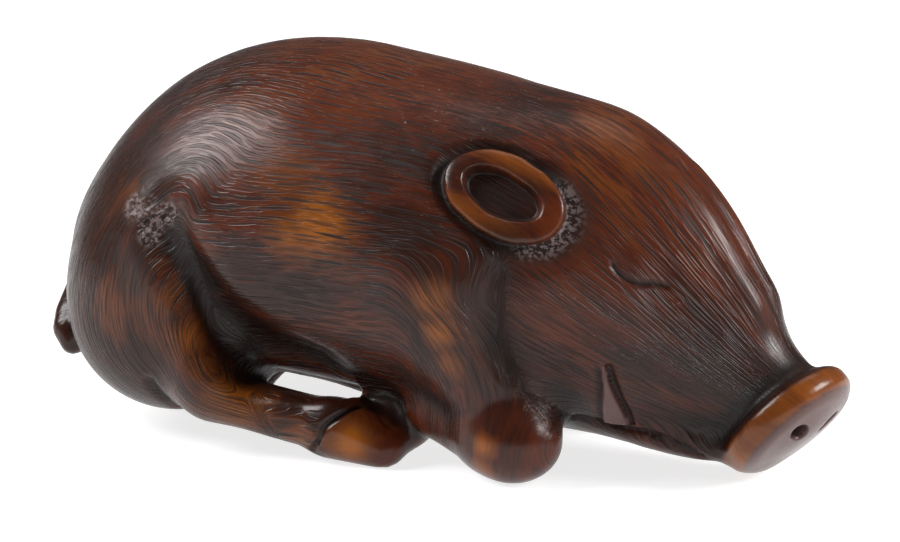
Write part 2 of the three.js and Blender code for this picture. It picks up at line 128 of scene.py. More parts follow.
def limb(p, start, end, r):
    """A cone with round ends, from one ball to another."""
    start, end = np.array(start), np.array(end)
    axis = end - start
    length2 = axis @ axis
    taper = r[0] - r[1]
    slope2 = length2 - taper * taper
    v = p - start
    y = v @ axis
    z = y - length2
    x2 = ((v * length2 - np.outer(y, axis)) ** 2).sum(1)
    y2, z2 = y * y * length2, z * z * length2
    k = np.sign(taper) * taper * taper * x2
    out = (np.sqrt(x2 * slope2 / length2) + y * taper) / length2 - r[0]
    out = np.where(np.sign(y) * slope2 * y2 < k, np.sqrt(x2 + y2) / length2 - r[0], out)
    return np.where(np.sign(z) * slope2 * z2 > k, np.sqrt(x2 + z2) / length2 - r[1], out)


def chain(p, stations):
    pairs = zip(stations, stations[1:])
    return np.minimum.reduce([limb(p, a[:3], b[:3], (a[3], b[3])) for a, b in pairs])


def snout_place(p):
    """Points in the snout's own axes: out through its face, to the boar's left across it, and up it."""
    v = p - np.array(SNOUT_AT)
    c, s = math.cos(math.radians(SNOUT_YAW)), math.sin(math.radians(SNOUT_YAW))
    v = np.column_stack([v[:, 0] * c + v[:, 1] * s, v[:, 1] * c - v[:, 0] * s, v[:, 2]])
    return turned(v, (0, 0, 0), SNOUT_PITCH)


def disc(p, radius, back, front, edge, dome):
    """The snout's flat disc, with a rounded rim and a slightly domed face."""
    x, y, z = snout_place(p)
    across = np.hypot(y, z)
    along = x + dome * across ** 2 * np.clip(x / 1.2, 0, 1)
    a = np.abs(along - (front - back) / 2) - (front + back) / 2 + edge
    b = across - radius + edge
    return np.minimum(np.maximum(a, b), 0) + np.hypot(np.maximum(a, 0), np.maximum(b, 0)) - edge


def slab(p, at, half, pitch, roll, edge):
    x, y, z = turned(p, at, pitch)
    c, s = math.cos(math.radians(roll)), math.sin(math.radians(roll))
    sides = (x, y * c + z * s, z * c - y * s)
    out = np.array([np.abs(v) - h + edge for v, h in zip(sides, half)])
    return np.linalg.norm(np.maximum(out, 0), axis=0) + np.minimum(out.max(0), 0) - edge


# %% The boar's masses
SNOUT_AT, SNOUT_PITCH, SNOUT_YAW = (21.0, 0, 4.4), 42.5, -8
SNOUT = dict(radius=4.2, back=0.7, front=1.85, edge=0.95, dome=0.03)
TAIL = [
    (-24.1, 1.0, 14.0, 0.6),
    (-25.15, 1.0, 11.8, 0.75),
    (-25.6, 0.3, 9.6, 0.9),
    (-25.25, -1.7, 8.1, 0.9),
    (-24.5, -3.8, 7.4, 0.9),
    (-24.15, -5.5, 6.3, 0.95),
    (-23.85, -6.3, 5.6, 0.95),
    (-23.35, -6.6, 4.9, 0.8),
]
FLANK_VALLEY = [
    (-14.6, -11.9, 15.2, 0.15),
    (-11.6, -10.6, 9.2, 1.0),
    (-9.4, -8.8, 6.0, 1.5),
    (-6.5, -7.6, 5.4, 0.8),
]
CHEEK_VALLEY = [
    (6.3, -11.2, 15.5, 0.2),
    (6.6, -11.0, 12.0, 0.9),
    (7.4, -10.2, 9.0, 1.2),
    (9.6, -9.3, 6.4, 1.2),
    (12.6, -8.6, 3.6, 1.2),
]


def trunk(p):
    rump = ellipsoid(p, (-14.45, 0, 11.65), (11.5, 11.0, 8.8), -25)
    d = blend(rump, ellipsoid(p, (-17, 0, 6), (7, 7, 6)), 1.5)
    d = blend(d, ellipsoid(p, (-6.7, 0, 13.9), (13.7, 11.2, 9.4), 9.3), 4)
    d = blend(d, ellipsoid(p, (2.7, 0, 12.0), (11.5, 10.0, 9.8), 7.3), 4)
    return blend(d, ellipsoid(p, (-2.5, 0, 7.3), (7.0, 6.6, 2.6), 4), 2)


def head(p):
    skull = ellipsoid(p, (9.0, 0, 12.1), (9.9, 6.0, 8.3), 35)
    d = blend(skull, limb(p, (9.3, 0, 17.3), (17.9, 0, 10.4), (2.3, 1.9)), 3)
    d = blend(d, limb(p, (11.6, 0, 8.5), (20.65, 0, 5.5), (5.2, 2.56)), 3)
    return blend(d, ellipsoid(p, (13.2, 0, 3.1), (6.6, 3.4, 1.6), 9.5), 1.5)


def hind_leg(p):
    d = ellipsoid(p, (-16.2, -6.4, 8.2), (7.1, 4.95, 6.5), -23.5)
    d = blend(d, limb(p, (-15.2, -8.6, 13.6), (-12.0, -9.0, 5.4), (1.9, 2.2)), 2)
    d = blend(d, limb(p, (-12.0, -8.8, 4.1), (-5.6, -7.9, 2.6), (2.1, 1.85)), 2)
    return blend(d, limb(p, (-4.7, -7.9, 2.45), (-1.45, -7.9, 1.35), (2.1, 1.2)), 0.5)


def fore_leg(p):
    d = limb(p, (2.2, -6.3, 11.5), (6.2, -6.6, 4.2), (4.0, 2.5))
    d = blend(d, ellipsoid(p, (6.75, -7.2, 2.8), (3.1, 2.6, 2.6)), 0.8)
    d = blend(d, limb(p, (4.9, -6.3, 3.1), (1.0, -5.7, 3.5), (2.5, 1.6)), 1)
    return blend(d, ellipsoid(p, (-1.1, -5.7, 2.3), (1.7, 1.3, 1.35)), 0.5)


def right_side(p):
    """Folds the left side onto the right, rounded a little at the middle so that the halves meet smoothly."""
    return np.column_stack([p[:, 0], -np.hypot(p[:, 1], 0.2), p[:, 2]])


def mass(p):
    q = right_side(p)
    d = blend(trunk(q), head(q), 3)
    d = blend(d, disc(p, **SNOUT), 1.2)
    d = blend(d, hind_leg(q), 1.6)
    d = carve(d, chain(q, FLANK_VALLEY), 2.6)
    d = blend(d, limb(q, (-10.0, -4.6, 6.2), (-3.0, -4.6, 4.9), (1.7, 1.5)), 1.5)
    d = blend(d, fore_leg(q), 2.0)
    d = carve(d, chain(q, CHEEK_VALLEY), 1.0)
    d = carve(d, ellipsoid(q, (-11.5, 0, 2.4), (4.4, 5.2, 2.4)), 1.0)
    d = carve(d, slab(q, (-7.0, -6.6, 4.35), (3.3, 2.2, 0.4), 4, -15, 0.35), 0.5)
    return blend(d, chain(p, TAIL), 0.5)


def slope(p, field, e=0.04):
    steps = np.eye(3) * e
    g = np.column_stack([field(p + s) - field(p - s) for s in steps])
    return g / np.maximum(np.linalg.norm(g, axis=1, keepdims=True), 1e-9)


print("field at the middle of the trunk, mm:", mass(np.array([[-5.0, 0, 12.0]])).round(2))

# %% [markdown]
# The block. The solid's mesh is loose triangles, so a copy is merged first. A voxel remesh then gives an even
# skin of small squares, which is what sculpting wants: detail can go anywhere. The squares are finer where
# the carver worked finer: the ear, eye, mouth, hooves and chipped knob get one more subdivision, and the
# nostrils get two.

# %% Copy the block and give it an even skin
VOXEL = 0.29 * MM


def merged_copy(node_name, name):
    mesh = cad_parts[node_name].data.copy()
    bm = bmesh.new()
    bm.from_mesh(mesh)
    bmesh.ops.remove_doubles(bm, verts=bm.verts, dist=1e-6)
    bm.to_mesh(mesh)
    bm.free()
    mesh.materials.clear()
    mesh.name = name
    piece = bpy.data.objects.new(name, mesh)
    bpy.context.collection.objects.link(piece)
    return piece


def applied(piece):
    """Turns the piece's modifiers into its mesh."""
    evaluated = piece.evaluated_get(bpy.context.evaluated_depsgraph_get())
    mesh = bpy.data.meshes.new_from_object(evaluated)
    piece.modifiers.clear()
    old = piece.data
    piece.data = mesh
    bpy.data.meshes.remove(old)
    mesh.name = piece.name


boar = merged_copy("boar", "carved_boar")
skin = boar.modifiers.new("even skin", "REMESH")
skin.mode = "VOXEL"
skin.voxel_size = VOXEL
applied(boar)
print("even skin:", len(boar.data.vertices), "vertices,", round(time.time() - started, 1), "s")


# %% Settle the skin on the masses
def points_of(piece):
    out = np.empty(len(piece.data.vertices) * 3)
    piece.data.vertices.foreach_get("co", out)
    return out.reshape(-1, 3) / MM - SHIFT


def move_to(piece, points):
    piece.data.vertices.foreach_set("co", ((points + SHIFT) * MM).ravel())
    piece.data.update()


def settled(p, rounds=4):
    for _ in range(rounds):
        p = p - slope(p, mass) * np.clip(mass(p), -0.2, 0.2)[:, None]
    return p


move_to(boar, settled(points_of(boar)))
print("settled,", round(time.time() - started, 1), "s")

# %% [markdown]
# Now the fine work is laid out. Each feature is drawn as a line or an oval on the surface, and the surface is
# lowered or raised by a depth that depends on the distance from it. Features are placed by their X and Z on
# the right side, and a search along Y finds the surface there.

# %% Lines on the surface
def landing(xz):
    """Where a point drawn on the side view meets the right side's surface."""
    ys = np.linspace(-14, -0.5, 271)
    inside = mass(np.array([[xz[0], y, xz[1]] for y in ys])) < 0
    first = int(np.argmax(inside))
    low, high = ys[first - 1], ys[first]
    for _ in range(16):
        middle = (low + high) / 2
        if mass(np.array([[xz[0], middle, xz[1]]]))[0] < 0:
            high = middle
        else:
            low = middle
    return (xz[0], high, xz[1])


def smooth_path(points, count=8):
    """A smooth curve through the points."""
    pts = np.array([points[0], *points, points[-1]], float)
    out = []
    for a, b, c, d in zip(pts, pts[1:], pts[2:], pts[3:]):
        for t in np.arange(count) / count:
            out.append(0.5 * (2 * b + (c - a) * t + (2 * a - 5 * b + 4 * c - d) * t**2
                              + (3 * b - a - 3 * c + d) * t**3))
    return np.array([*out, pts[-1]])


def along_path(p, path):
    """Distance to a path, and how far along it, from 0 to 1, the nearest place lies."""
    best, where = np.full(len(p), 1e9), np.zeros(len(p))
    spans = len(path) - 1
    for i, (a, b) in enumerate(zip(path, path[1:])):
        d = b - a
        t = np.clip((p - a) @ d / max(d @ d, 1e-9), 0, 1)
        far = np.linalg.norm(p - a - t[:, None] * d, axis=1)
        nearer = far < best
        best[nearer] = far[nearer]
        where[nearer] = ((i + t) / spans)[nearer]
    return best, where


def ramp(x, low, high):
    t = np.clip((x - low) / (high - low), 0, 1)
    return t * t * (3 - 2 * t)


print("surface beside the eye, mm:", np.round(landing((13.4, 12.8)), 2))

# %% Finer squares where the carver worked finer
FINE_PLACES = [
    # middle, and reach, of each place on the right side
    ((6.6, -7.3, 17.5), 4.7),
    ((14.2, -5.4, 13.0), 2.2),
    ((12.4, -4.6, 5.3), 2.9),
    ((-3.6, -8.3, 2.6), 3.2),
    ((-15.0, -10.9, 14.3), 2.2),
]


def subdivide_near(piece, places):
    p = right_side(points_of(piece))
    near = np.zeros(len(p), bool)
    for middle, reach in places:
        near |= np.linalg.norm(p - np.array(middle), axis=1) < reach
    bm = bmesh.new()
    bm.from_mesh(piece.data)
    bm.verts.ensure_lookup_table()
    faces = [f for f in bm.faces if all(near[v.index] for v in f.verts)]
    edges = list({e for f in faces for e in f.edges})
    bmesh.ops.subdivide_edges(bm, edges=edges, cuts=1, use_grid_fill=True)
    bmesh.ops.triangulate(bm, faces=[f for f in bm.faces if len(f.verts) > 4])
    bm.to_mesh(piece.data)
    bm.free()


NOSTRIL_PLACE = (23.0, -1.7, 3.9)
subdivide_near(boar, FINE_PLACES)
for reach in (1.6, 1.1):
    subdivide_near(boar, [(NOSTRIL_PLACE, reach)])
skin_points = settled(points_of(boar), 2)
move_to(boar, skin_points)
triangles = sum(len(f.vertices) - 2 for f in boar.data.polygons)
print("fine skin:", len(boar.data.vertices), "vertices,", triangles, "triangles")
print(round(time.time() - started, 1), "s")


# %% [markdown]
# The ear is an oval ring lying on the neck. Its outer edge drops into a channel cut round it, widest on the
# side of the face, and its middle is sunk. The rim is cut by eye, so neither of its ovals is quite even.

# %% Ear
EAR_AT = (6.45, 17.5)
EAR_OUTER = (3.85, 2.5)
EAR_INNER = (2.4, 1.25)
EAR_INNER_SHIFT = (-0.18, -0.05)
EAR_TILT = math.radians(20)
EAR_RIM, EAR_CHANNEL, EAR_HOLLOW = 0.35, 0.45, 0.55

normals = slope(skin_points, mass)
right = right_side(skin_points)


def ear_frame():
    centre = np.array(landing(EAR_AT))
    normal = slope(centre[None], mass)[0]
    lean = np.array([math.cos(EAR_TILT), 0, -math.sin(EAR_TILT)])
    long = lean - normal * (lean @ normal)
    long /= np.linalg.norm(long)
    return centre, normal, long, np.cross(normal, long)


def ear_ovals(p):
    """How far out each point lies in the outer and the inner oval, 1 on the line, and which side it is on."""
    centre, normal, long, up = ear_frame()
    v = p - centre
    a, b = v @ long, v @ up
    turn = np.arctan2(b, a)
    outer = np.hypot(a / EAR_OUTER[0], b / EAR_OUTER[1])
    outer = outer * (1 + 0.012 * np.cos(4 * turn + 1) + 0.006 * np.cos(9 * turn))
    inner = np.hypot((a - EAR_INNER_SHIFT[0]) / EAR_INNER[0], (b - EAR_INNER_SHIFT[1]) / EAR_INNER[1])
    inner = inner * (1 + 0.03 * np.cos(3 * turn + 2.2))
    near = 1 - ramp(np.abs(v @ normal), 3, 5)
    return outer, inner, a, b, near


outer, inner, ear_a, ear_b, ear_near = ear_ovals(right)
in_hollow = (1 - ramp(inner, 0.94, 1.1)) * ear_near
ear_wall = ramp(inner, 0.78, 0.96) * (1 - ramp(inner, 1.04, 1.14)) * ear_near
on_rim = ramp(inner, 0.94, 1.1) * (1 - ramp(outer, 0.96, 1.04)) * ear_near
channel_width = 0.75 + 0.85 * ramp(ear_a, 0, 3.5)
channel = ramp(outer, 0.96, 1.04) * (1 - ramp((outer - 1) * EAR_OUTER[1], 0.15, channel_width)) * ear_near
rim_crest, rim_reach, rim_foot = 0.8, 0.27, 0.25
rounded = 1 - ((outer - rim_crest) / rim_reach) ** 2
rim_height = EAR_RIM * np.clip(rim_foot + (1 - rim_foot) * rounded, 0, 1)
cut = EAR_HOLLOW * in_hollow - rim_height * on_rim + EAR_CHANNEL * channel
print("ear rim covers", int((on_rim > 0.5).sum()), "vertices")

# %% [markdown]
# The closed eye is one curved cut below a slightly swollen lid. The mouth is a long cut with the lower jaw as
# a thin strip below it. The tusk is a slim raised wedge with a groove on each side, deeper on its front.

# %% Eye, mouth and tusk
EYE_LINE = [(12.6, 14.05), (13.05, 13.25), (13.9, 12.66), (14.9, 12.58), (15.75, 12.3)]
LID_AT = (14.2, 13.6)
MOUTH_LINE = [
    (9.6, -4.5, 3.75),
    (10.9, -3.85, 3.48),
    (12.2, -3.6, 3.2),
    (14.3, -3.45, 3.05),
    (16.0, -3.0, 2.4),
    (16.8, -2.3, 1.7),
]
TUSK_BASE, TUSK_TIP = np.array((11.9, -3.85, 3.55)), np.array((12.2, -6.15, 7.6))
TUSK_HALF_WIDTH = (0.74, 0.1)


def stroke(points, width, depth, fade=0.0):
    """A cut along a smooth line, and how near each vertex is to it. The ends fade over a share of it."""
    path = smooth_path([landing(p) if len(p) == 2 else p for p in points])
    far, t = along_path(right, path)
    ends = np.minimum(ramp(t, 0, fade), 1 - ramp(t, 1 - fade, 1)) if fade else 1
    near = np.exp(-(far / width) ** 2) * ends
    return depth * near, near


def round_place(middle, reach):
    """1 at a place on the right side, fading to nothing a little past its reach."""
    return np.exp(-(np.linalg.norm(right - np.array(middle), axis=1) / reach) ** 2)


eye_cut, eye_near = stroke(EYE_LINE, 0.15, 0.2, 0.15)
lid = round_place(landing(LID_AT), 1.1)
mouth_cut, mouth_near = stroke(MOUTH_LINE, 0.24, 0.42)

tusk_axis = TUSK_TIP - TUSK_BASE
tusk_length = np.linalg.norm(tusk_axis)
tusk_axis /= tusk_length
rise = (right - TUSK_BASE) @ tusk_axis
aside = np.linalg.norm(right - TUSK_BASE - rise[:, None] * tusk_axis, axis=1)
front_side = ramp(right[:, 0] - TUSK_BASE[0] - rise * tusk_axis[0], -0.1, 0.1)
half_width = np.interp(rise / tusk_length, [0, 1], TUSK_HALF_WIDTH)
tall = ramp(rise, -0.12, 0.06) * (1 - ramp(rise, tusk_length, tusk_length + 0.25))
tusk_near = tall * (1 - ramp(aside, half_width - 0.08, half_width + 0.08))
groove = tall * np.exp(-((aside - half_width - 0.2) / 0.22) ** 2)
TUSK_RISE, LID_RISE = 0.18, 0.13
tusk_cut = groove * (0.06 + 0.24 * front_side) - TUSK_RISE * tusk_near
cut = cut + eye_cut - LID_RISE * lid + mouth_cut + tusk_cut
print("tusk, mm:", round(float(tusk_length), 2))

# %% [markdown]
# The snout's two nostrils are drilled into its face, and a shallow groove runs round behind its rim. Two
# ridges with a groove between them run up the nose.

# %% Snout and nose
NOSTRIL_SIDE, NOSTRIL_UP, NOSTRIL_R, NOSTRIL_DEPTH = 1.5, 1.0, (0.85, 0.6), 0.9
NOSTRIL_LEAN = (-0.81, -0.59)
NOSE_LINE = np.array([(13.6, 0, 18.9), (15.2, 0, 17.6), (17.6, 0, 15.1), (19.3, 0, 12.4), (20.7, 0, 9.6)])
snout_x, snout_y, snout_z = snout_place(skin_points)
from_axis = np.hypot(snout_y, snout_z)
on_face = ramp(snout_x, 0.9, 1.4) * (1 - ramp(from_axis, 3.7, 4.05))
on_snout = ramp(snout_x, -1.3, -0.6) * (1 - ramp(from_axis, 4.6, 5.2))
hole_y, hole_z = np.abs(snout_y) - NOSTRIL_SIDE, snout_z - NOSTRIL_UP
hole_long = hole_y * NOSTRIL_LEAN[0] + hole_z * NOSTRIL_LEAN[1]
hole_short = hole_y * NOSTRIL_LEAN[1] - hole_z * NOSTRIL_LEAN[0]
from_nostril = np.hypot(hole_long / NOSTRIL_R[0], hole_short / NOSTRIL_R[1])
in_nostril = (1 - ramp(from_nostril, 0.75, 1.05)) * ramp(snout_x, 0.9, 1.2)
nose_far, nose_t = along_path(right, NOSE_LINE)
on_nose = (1 - ramp(nose_far, 1.8, 3.0)) * ramp(nose_t, 0, 0.15) * (1 - ramp(nose_t, 0.85, 1))
side = np.abs(skin_points[:, 1])
nose_cut = on_nose * (0.22 * np.exp(-(side / 0.6) ** 2) - 0.14 * np.exp(-((side - 1.3) / 0.7) ** 2))
behind_rim = np.exp(-((snout_x + 1.0) / 0.5) ** 2) * (1 - ramp(from_axis, 4.4, 5.2))
cut = cut + NOSTRIL_DEPTH * in_nostril + nose_cut + 0.2 * behind_rim

# %% [markdown]
# On the legs the carver cut the crease of the fetlock, the cleft of the hoof, the fold below the haunch and
# the line between foreleg and cheek, and left a crisp ridge where the haunch meets the flank. The knob of the
# haunch is knocked and chipped, so it gets rough, shallow scars.

# %% Legs and haunch
FETLOCK = [(-2.9, -7.8, 3.8), (-3.4, -9.15, 3.55), (-4.2, -9.9, 2.8), (-4.65, -9.9, 1.9), (-5.3, -9.5, 1.2)]
HOOF_CLEFT = [(-2.0, -7.7, 3.1), (-1.1, -7.8, 2.6), (-0.2, -7.8, 1.5)]
HAUNCH_RIDGE = [(-14.0, 14.9), (-13.5, 12.2), (-13.1, 10.0), (-12.5, 7.8), (-11.5, 6.2)]
HAUNCH_VALLEY = [(-13.5, 14.2), (-12.85, 11.3), (-12.3, 9.0), (-11.7, 7.0), (-11.0, 5.6)]
HOCK_FOLD = [(-16.0, -10.6, 4.6), (-15.7, -10.0, 3.6), (-15.3, -8.8, 2.5), (-15.3, -7.5, 1.8)]
LEG_LINE = [(7.3, 14.6), (7.0, 12.2), (7.0, 8.6), (8.2, 6.6)]
LEG_SHADE_LINE = [(7.0, 14.6), (6.6, 12.2), (6.9, 9.0), (8.2, 6.4)]
KNEE_LINE = [(4.4, -9.9, 5.4), (6.3, -9.6, 5.7), (8.2, -8.2, 5.3)]
CHIPPED = [(-15.6, -10.9, 14.6), (-14.4, -10.9, 14.7), (-16.8, -10.4, 14.8), (-15.3, -11.1, 13.5)]
CHIP_REACH = 0.9

fetlock_cut, fetlock_near = stroke(FETLOCK, 0.2, 0.34)
cleft_cut, cleft_near = stroke(HOOF_CLEFT, 0.16, 0.28, 0.15)
ridge_cut, _ = stroke(HAUNCH_RIDGE, 0.55, -0.14, 0.3)
valley_cut, valley_near = stroke(HAUNCH_VALLEY, 0.6, 0.28, 0.35)
hock_cut, hock_near = stroke(HOCK_FOLD, 0.25, 0.34, 0.2)
leg_cut, leg_near = stroke(LEG_LINE, 1.0, 0.45, 0.25)
knee_cut, _ = stroke(KNEE_LINE, 0.6, 0.08, 0.3)
cut = cut + fetlock_cut + cleft_cut + ridge_cut + valley_cut + hock_cut + leg_cut + knee_cut


def ripple(p, seed, scale, waves=24):
    """Smooth seeded noise from crossing waves, about -1 to 1."""
    rng = np.random.default_rng(seed)
    directions = rng.normal(size=(waves, 3))
    directions /= np.linalg.norm(directions, axis=1, keepdims=True)
    rates = 2 * math.pi / scale * rng.uniform(0.6, 1.6, waves)
    phases = rng.uniform(0, 2 * math.pi, waves)
    return np.cos(p @ (directions * rates[:, None]).T + phases).sum(1) * math.sqrt(2 / waves) / 2


chipped = np.maximum.reduce([round_place(middle, CHIP_REACH) for middle in CHIPPED])
scars = ramp(ripple(skin_points, 5, 1.1), 0.0, 0.35)
cut = cut + chipped * (0.05 + 0.15 * scars)
# the front of the ear's channel is roughened, and later gets the same painted grey sheen as the chips
rough_channel = 0.7 * channel * ramp(ear_a, 0.8, 3.0)
print("deepest cut, mm:", round(float(cut.max()), 2))

# %% [markdown]
# The hair. Every hair is a stroke of the graver, so the strokes need to know which way the coat lies. Each
# vertex gets a place in the coat: how far along the hairs it is, and how far across them. On the trunk and
# head the hairs run lengthways round a bent axis from rump to snout. On the haunch they turn down in arcs
# towards the foot, and on the shoulder they turn down into the foreleg.

# %% The lie of the coat
AXIS_X = [-26, -8, 2, 8, 14, 20, 25]
AXIS_Z = [12.0, 12.0, 12.2, 11.6, 9.2, 6.0, 3.6]
GIRTH_X, GIRTH_R = [5, 12, 21], [9.0, 7.2, 5.0]
HAUNCH_EDGE_Z = [2.0, 5.0, 6.4, 9.1, 12.2, 14.7, 19, 24]
HAUNCH_EDGE_X = [-8.0, -9.4, -10.4, -11.7, -12.6, -13.4, -12.0, -10.0]


def coat_places(p):
    q = right_side(p)
    x, y, z = q.T
    body_across = np.interp(x, GIRTH_X, GIRTH_R) * np.arctan2(-y, z - np.interp(x, AXIS_X, AXIS_Z))
    body_along = x
    hx, hz = x + 7.5, z - 9.0
    around = np.hypot(hx, hz)
    haunch_across = 16.0 * np.arctan2(-y, around) - 1.5 + 0.8 * np.maximum(7 - around, 0)
    haunch_along = around * (np.arctan2(hz, -hx) - math.pi / 2) - 7.5
    edge_soft = np.interp(z, [13, 20], [0.5, 4.0])
    edge_x = np.interp(z, HAUNCH_EDGE_Z, HAUNCH_EDGE_X)
    haunch = 1 - ramp(x - edge_x, -edge_soft, edge_soft)
    lx, lz = x + 3.0, z - 4.5
    leg_across = 22.1 - np.hypot(lx, lz)
    leg_along = -8.0 * (np.arctan2(lz, lx) - 1.07)
    leg = ramp(x, -0.5, 3.0) * (1 - ramp(x - np.interp(z, [4, 6, 9, 14], [9.5, 8.0, 7.0, 7.2]), -0.3, 0.3))
    leg *= 1 - ramp(z, 11.0, 15.5)
    leg *= ramp(-y, 4.0, 6.0)
    across = body_across + haunch * (haunch_across - body_across)
    across = across + leg * (leg_across - across)
    along = body_along + haunch * (haunch_along - body_along)
    along = along + leg * (leg_along - along)
    return np.column_stack([along, across, p[:, 1]])


places = coat_places(skin_points)
print("coat runs from", places.min(0).round(1), "to", places.max(0).round(1), "mm")

# %% Where the coat is smooth
hoof = ramp(right[:, 0], -4.9, -4.3) * (1 - ramp(right[:, 0], 0.6, 1.4)) * (1 - ramp(right[:, 2], 3.6, 4.6))
hoof *= ramp(-right[:, 1], 4.0, 4.8)
knee_ball = 1 - ramp(np.linalg.norm(right - np.array((6.9, -8.2, 2.2)), axis=1), 2.6, 4.2)
on_tail = 1 - ramp(chain(skin_points, TAIL), 0.05, 0.3)
bare = [on_rim, ear_wall, 0.5 * channel, tusk_near, on_snout, hoof, knee_ball, 0.75 * on_tail]
smooth = np.clip(np.maximum.reduce(bare), 0, 1)
locks = ripple(places * np.array([0.5, 2.2, 0.3]), 11, 2.0, 40)
cut = cut + 0.01 * locks * (1 - smooth) * (1 - chipped)
carved = skin_points - normals * cut[:, None]
carved[:, 2] = np.maximum(carved[:, 2], REST_HEIGHT)
move_to(boar, carved)
boar.data.polygons.foreach_set("use_smooth", np.ones(len(boar.data.polygons), bool))
print("carved,", round(time.time() - started, 1), "s")

# %% [markdown]
# The stain went on dark, and long handling rubbed it back where a thumb passes. The hollows are darkened
# as painted shade. Curvature shows the hollows: there the field's curvature is below zero. The brightest
# rubbed places are named, because they are where this boar was held, and so are the places that stayed dark.

# %% Painted shade in the hollows, edges and rubbed places
RUBBED = [
    # middle on the right side, reach, strength
    ((-3.9, -10.9, 15.3), 2.4, 1.0),
    ((-5.7, -11.0, 14.4), 1.8, 0.7),
    ((-6.5, -9.6, 17.6), 2.6, 0.45),
    ((-13.9, -10.8, 9.4), 1.5, 0.6),
    ((-13.0, -10.9, 7.4), 1.6, 0.7),
    ((-11.8, -10.8, 5.6), 1.5, 0.6),
    ((-14.6, -11.0, 11.8), 1.2, 0.35),
    ((3.5, -10.5, 11.6), 1.5, 0.75),
    ((3.7, -10.4, 9.6), 1.4, 0.8),
    ((4.3, -10.2, 7.6), 1.3, 0.6),
    ((6.3, -9.7, 2.9), 0.95, 0.8),
    ((6.0, -9.2, 1.5), 1.1, 0.55),
    ((-2.8, -9.4, 1.9), 1.5, 0.8),
    ((-6.2, -9.4, 2.3), 1.8, 0.5),
    ((10.4, -2.0, 20.6), 3.2, 0.5),
    ((12.6, -3.5, 18.6), 2.2, 0.4),
    ((-9.6, -10.6, 4.0), 2.8, 0.75),
    ((-17.2, -11.0, 8.6), 3.6, 0.4),
    ((-17.5, -9.5, 15.0), 3.0, 0.3),
    ((-10.0, -2.5, 22.5), 5.0, 0.3),
]
STAINED_DARK = [
    ((-0.6, -8.0, 19.6), 3.6, 0.75),
    ((1.0, -10.0, 16.0), 2.6, 0.6),
    ((-8.0, -10.6, 11.0), 3.0, 0.35),
    ((16.5, -4.5, 10.5), 3.0, 0.3),
    ((-20.0, -8.0, 13.0), 5.0, 0.3),
]
DUSTY = [((-9.5, -4.0, 22.4), 3.6, 1.0), ((1.0, -4.5, 21.0), 3.4, 1.0)]


def patches(places):
    values = np.zeros(len(right))
    for middle, reach, strength in places:
        values = np.maximum(values, strength * round_place(middle, reach))
    return values


def curvature(p, e):
    steps = np.vstack([np.eye(3), -np.eye(3)]) * e
    return (sum(mass(p + s) for s in steps) - 6 * mass(p)) / e**2


# painted shade: darker where the surface curves inwards
bend = curvature(skin_points, 0.8)
hollow_shade = ramp(-bend, -0.05, 0.5)
# the cuts darken: stain in the engraved lines, and painted shade in the deep nostrils, ear hollow, flank
# valley and grooves
cut_stain_and_shade = np.maximum.reduce([
    eye_near, mouth_near, groove, fetlock_near, cleft_near, hock_near, channel, in_nostril,
    0.62 * in_hollow, 0.9 * ear_wall * in_hollow, 0.8 * valley_near, 0.75 * leg_near, 0.55 * behind_rim,
])
# painted shade: a broad dark band down the crevice between the foreleg and the cheek
leg_shade, _ = stroke(LEG_SHADE_LINE, 1.7, 0.85)
hollow_shade = np.maximum(hollow_shade, leg_shade)
rubbed = patches(RUBBED)
rim_band = on_snout * (1 - on_face) * ramp(from_axis, 2.9, 3.5) * ramp(snout_x, -0.5, 0.0)
ear_wear = 0.16 + 0.4 * ramp(np.abs(ear_b) / EAR_OUTER[1], 0.3, 0.8) - 0.12 * ramp(ear_a, 1.5, 3.5)
rubbed = np.clip(np.maximum.reduce([rubbed, ear_wear * on_rim, 0.55 * rim_band]), 0, 1)
right_x, right_z = right[:, 0], right[:, 2]
warm_back = ramp(right_z, 10, 19) * ramp(right_x, -15, -5) * (1 - ramp(right_x, 0, 6))
warm_head = ramp(right_x, 6, 11) * ramp(right_z, 6, 14)
dark_rump = 1 - ramp(right_x, -24, -13)
dark_nose = ramp(right_x, 15, 19)
warm = 0.3 + 0.55 * warm_back + 0.45 * warm_head - 0.25 * dark_rump
warm = np.clip(warm - 0.3 * dark_nose - patches(STAINED_DARK), 0, 1)
dust = patches(DUSTY) * (skin_points[:, 1] < 0)


def keep_values(piece, name, values):
    kind = "FLOAT_VECTOR" if values.ndim == 2 else "FLOAT"
    attribute = piece.data.attributes.new(name, kind, "POINT")
    attribute.data.foreach_set("vector" if values.ndim == 2 else "value", values.ravel().astype(np.float32))


keep_values(boar, "coat", places)
keep_values(boar, "smooth", smooth)
# painted shade in the hollows, and stain with painted shade in the cuts
keep_values(boar, "hollow_shade", np.clip(hollow_shade, 0, 1))
keep_values(boar, "cut", np.clip(cut_stain_and_shade, 0, 1))
keep_values(boar, "rubbed", rubbed)
keep_values(boar, "warm", warm)
# the chips and the ear's rough channel later get painted grey sheen
keep_values(boar, "chipped", np.maximum(chipped, rough_channel))
# the tusk and the snout's face get painted mauve sheen
keep_values(boar, "tusk", tusk_near)
keep_values(boar, "face", on_face * (1 - in_nostril))
keep_values(boar, "dust", dust)
print("values kept,", round(time.time() - started, 1), "s")

# %% [markdown]
# The engraving is too fine for the mesh, so it is a shader effect: rows of short tapered grooves that follow
# the coat. Each row is cut into strokes of random start, depth and slant. Three layers of different pitch lie
# over one another, as a carver goes over the coat again to fill the gaps. The group puts out one value, the
# depth of the grooves, which feeds both the colour and the bump.

# %% Node helpers
def math_node(tree, kind, a, b=None, c=None):
    node = tree.nodes.new("ShaderNodeMath")
    node.operation = kind
    for socket, value in zip(node.inputs, (a, b, c)):
        if value is None:
            continue
        if isinstance(value, (int, float)):
            socket.default_value = value
        else:
            tree.links.new(value, socket)
    return node.outputs[0]


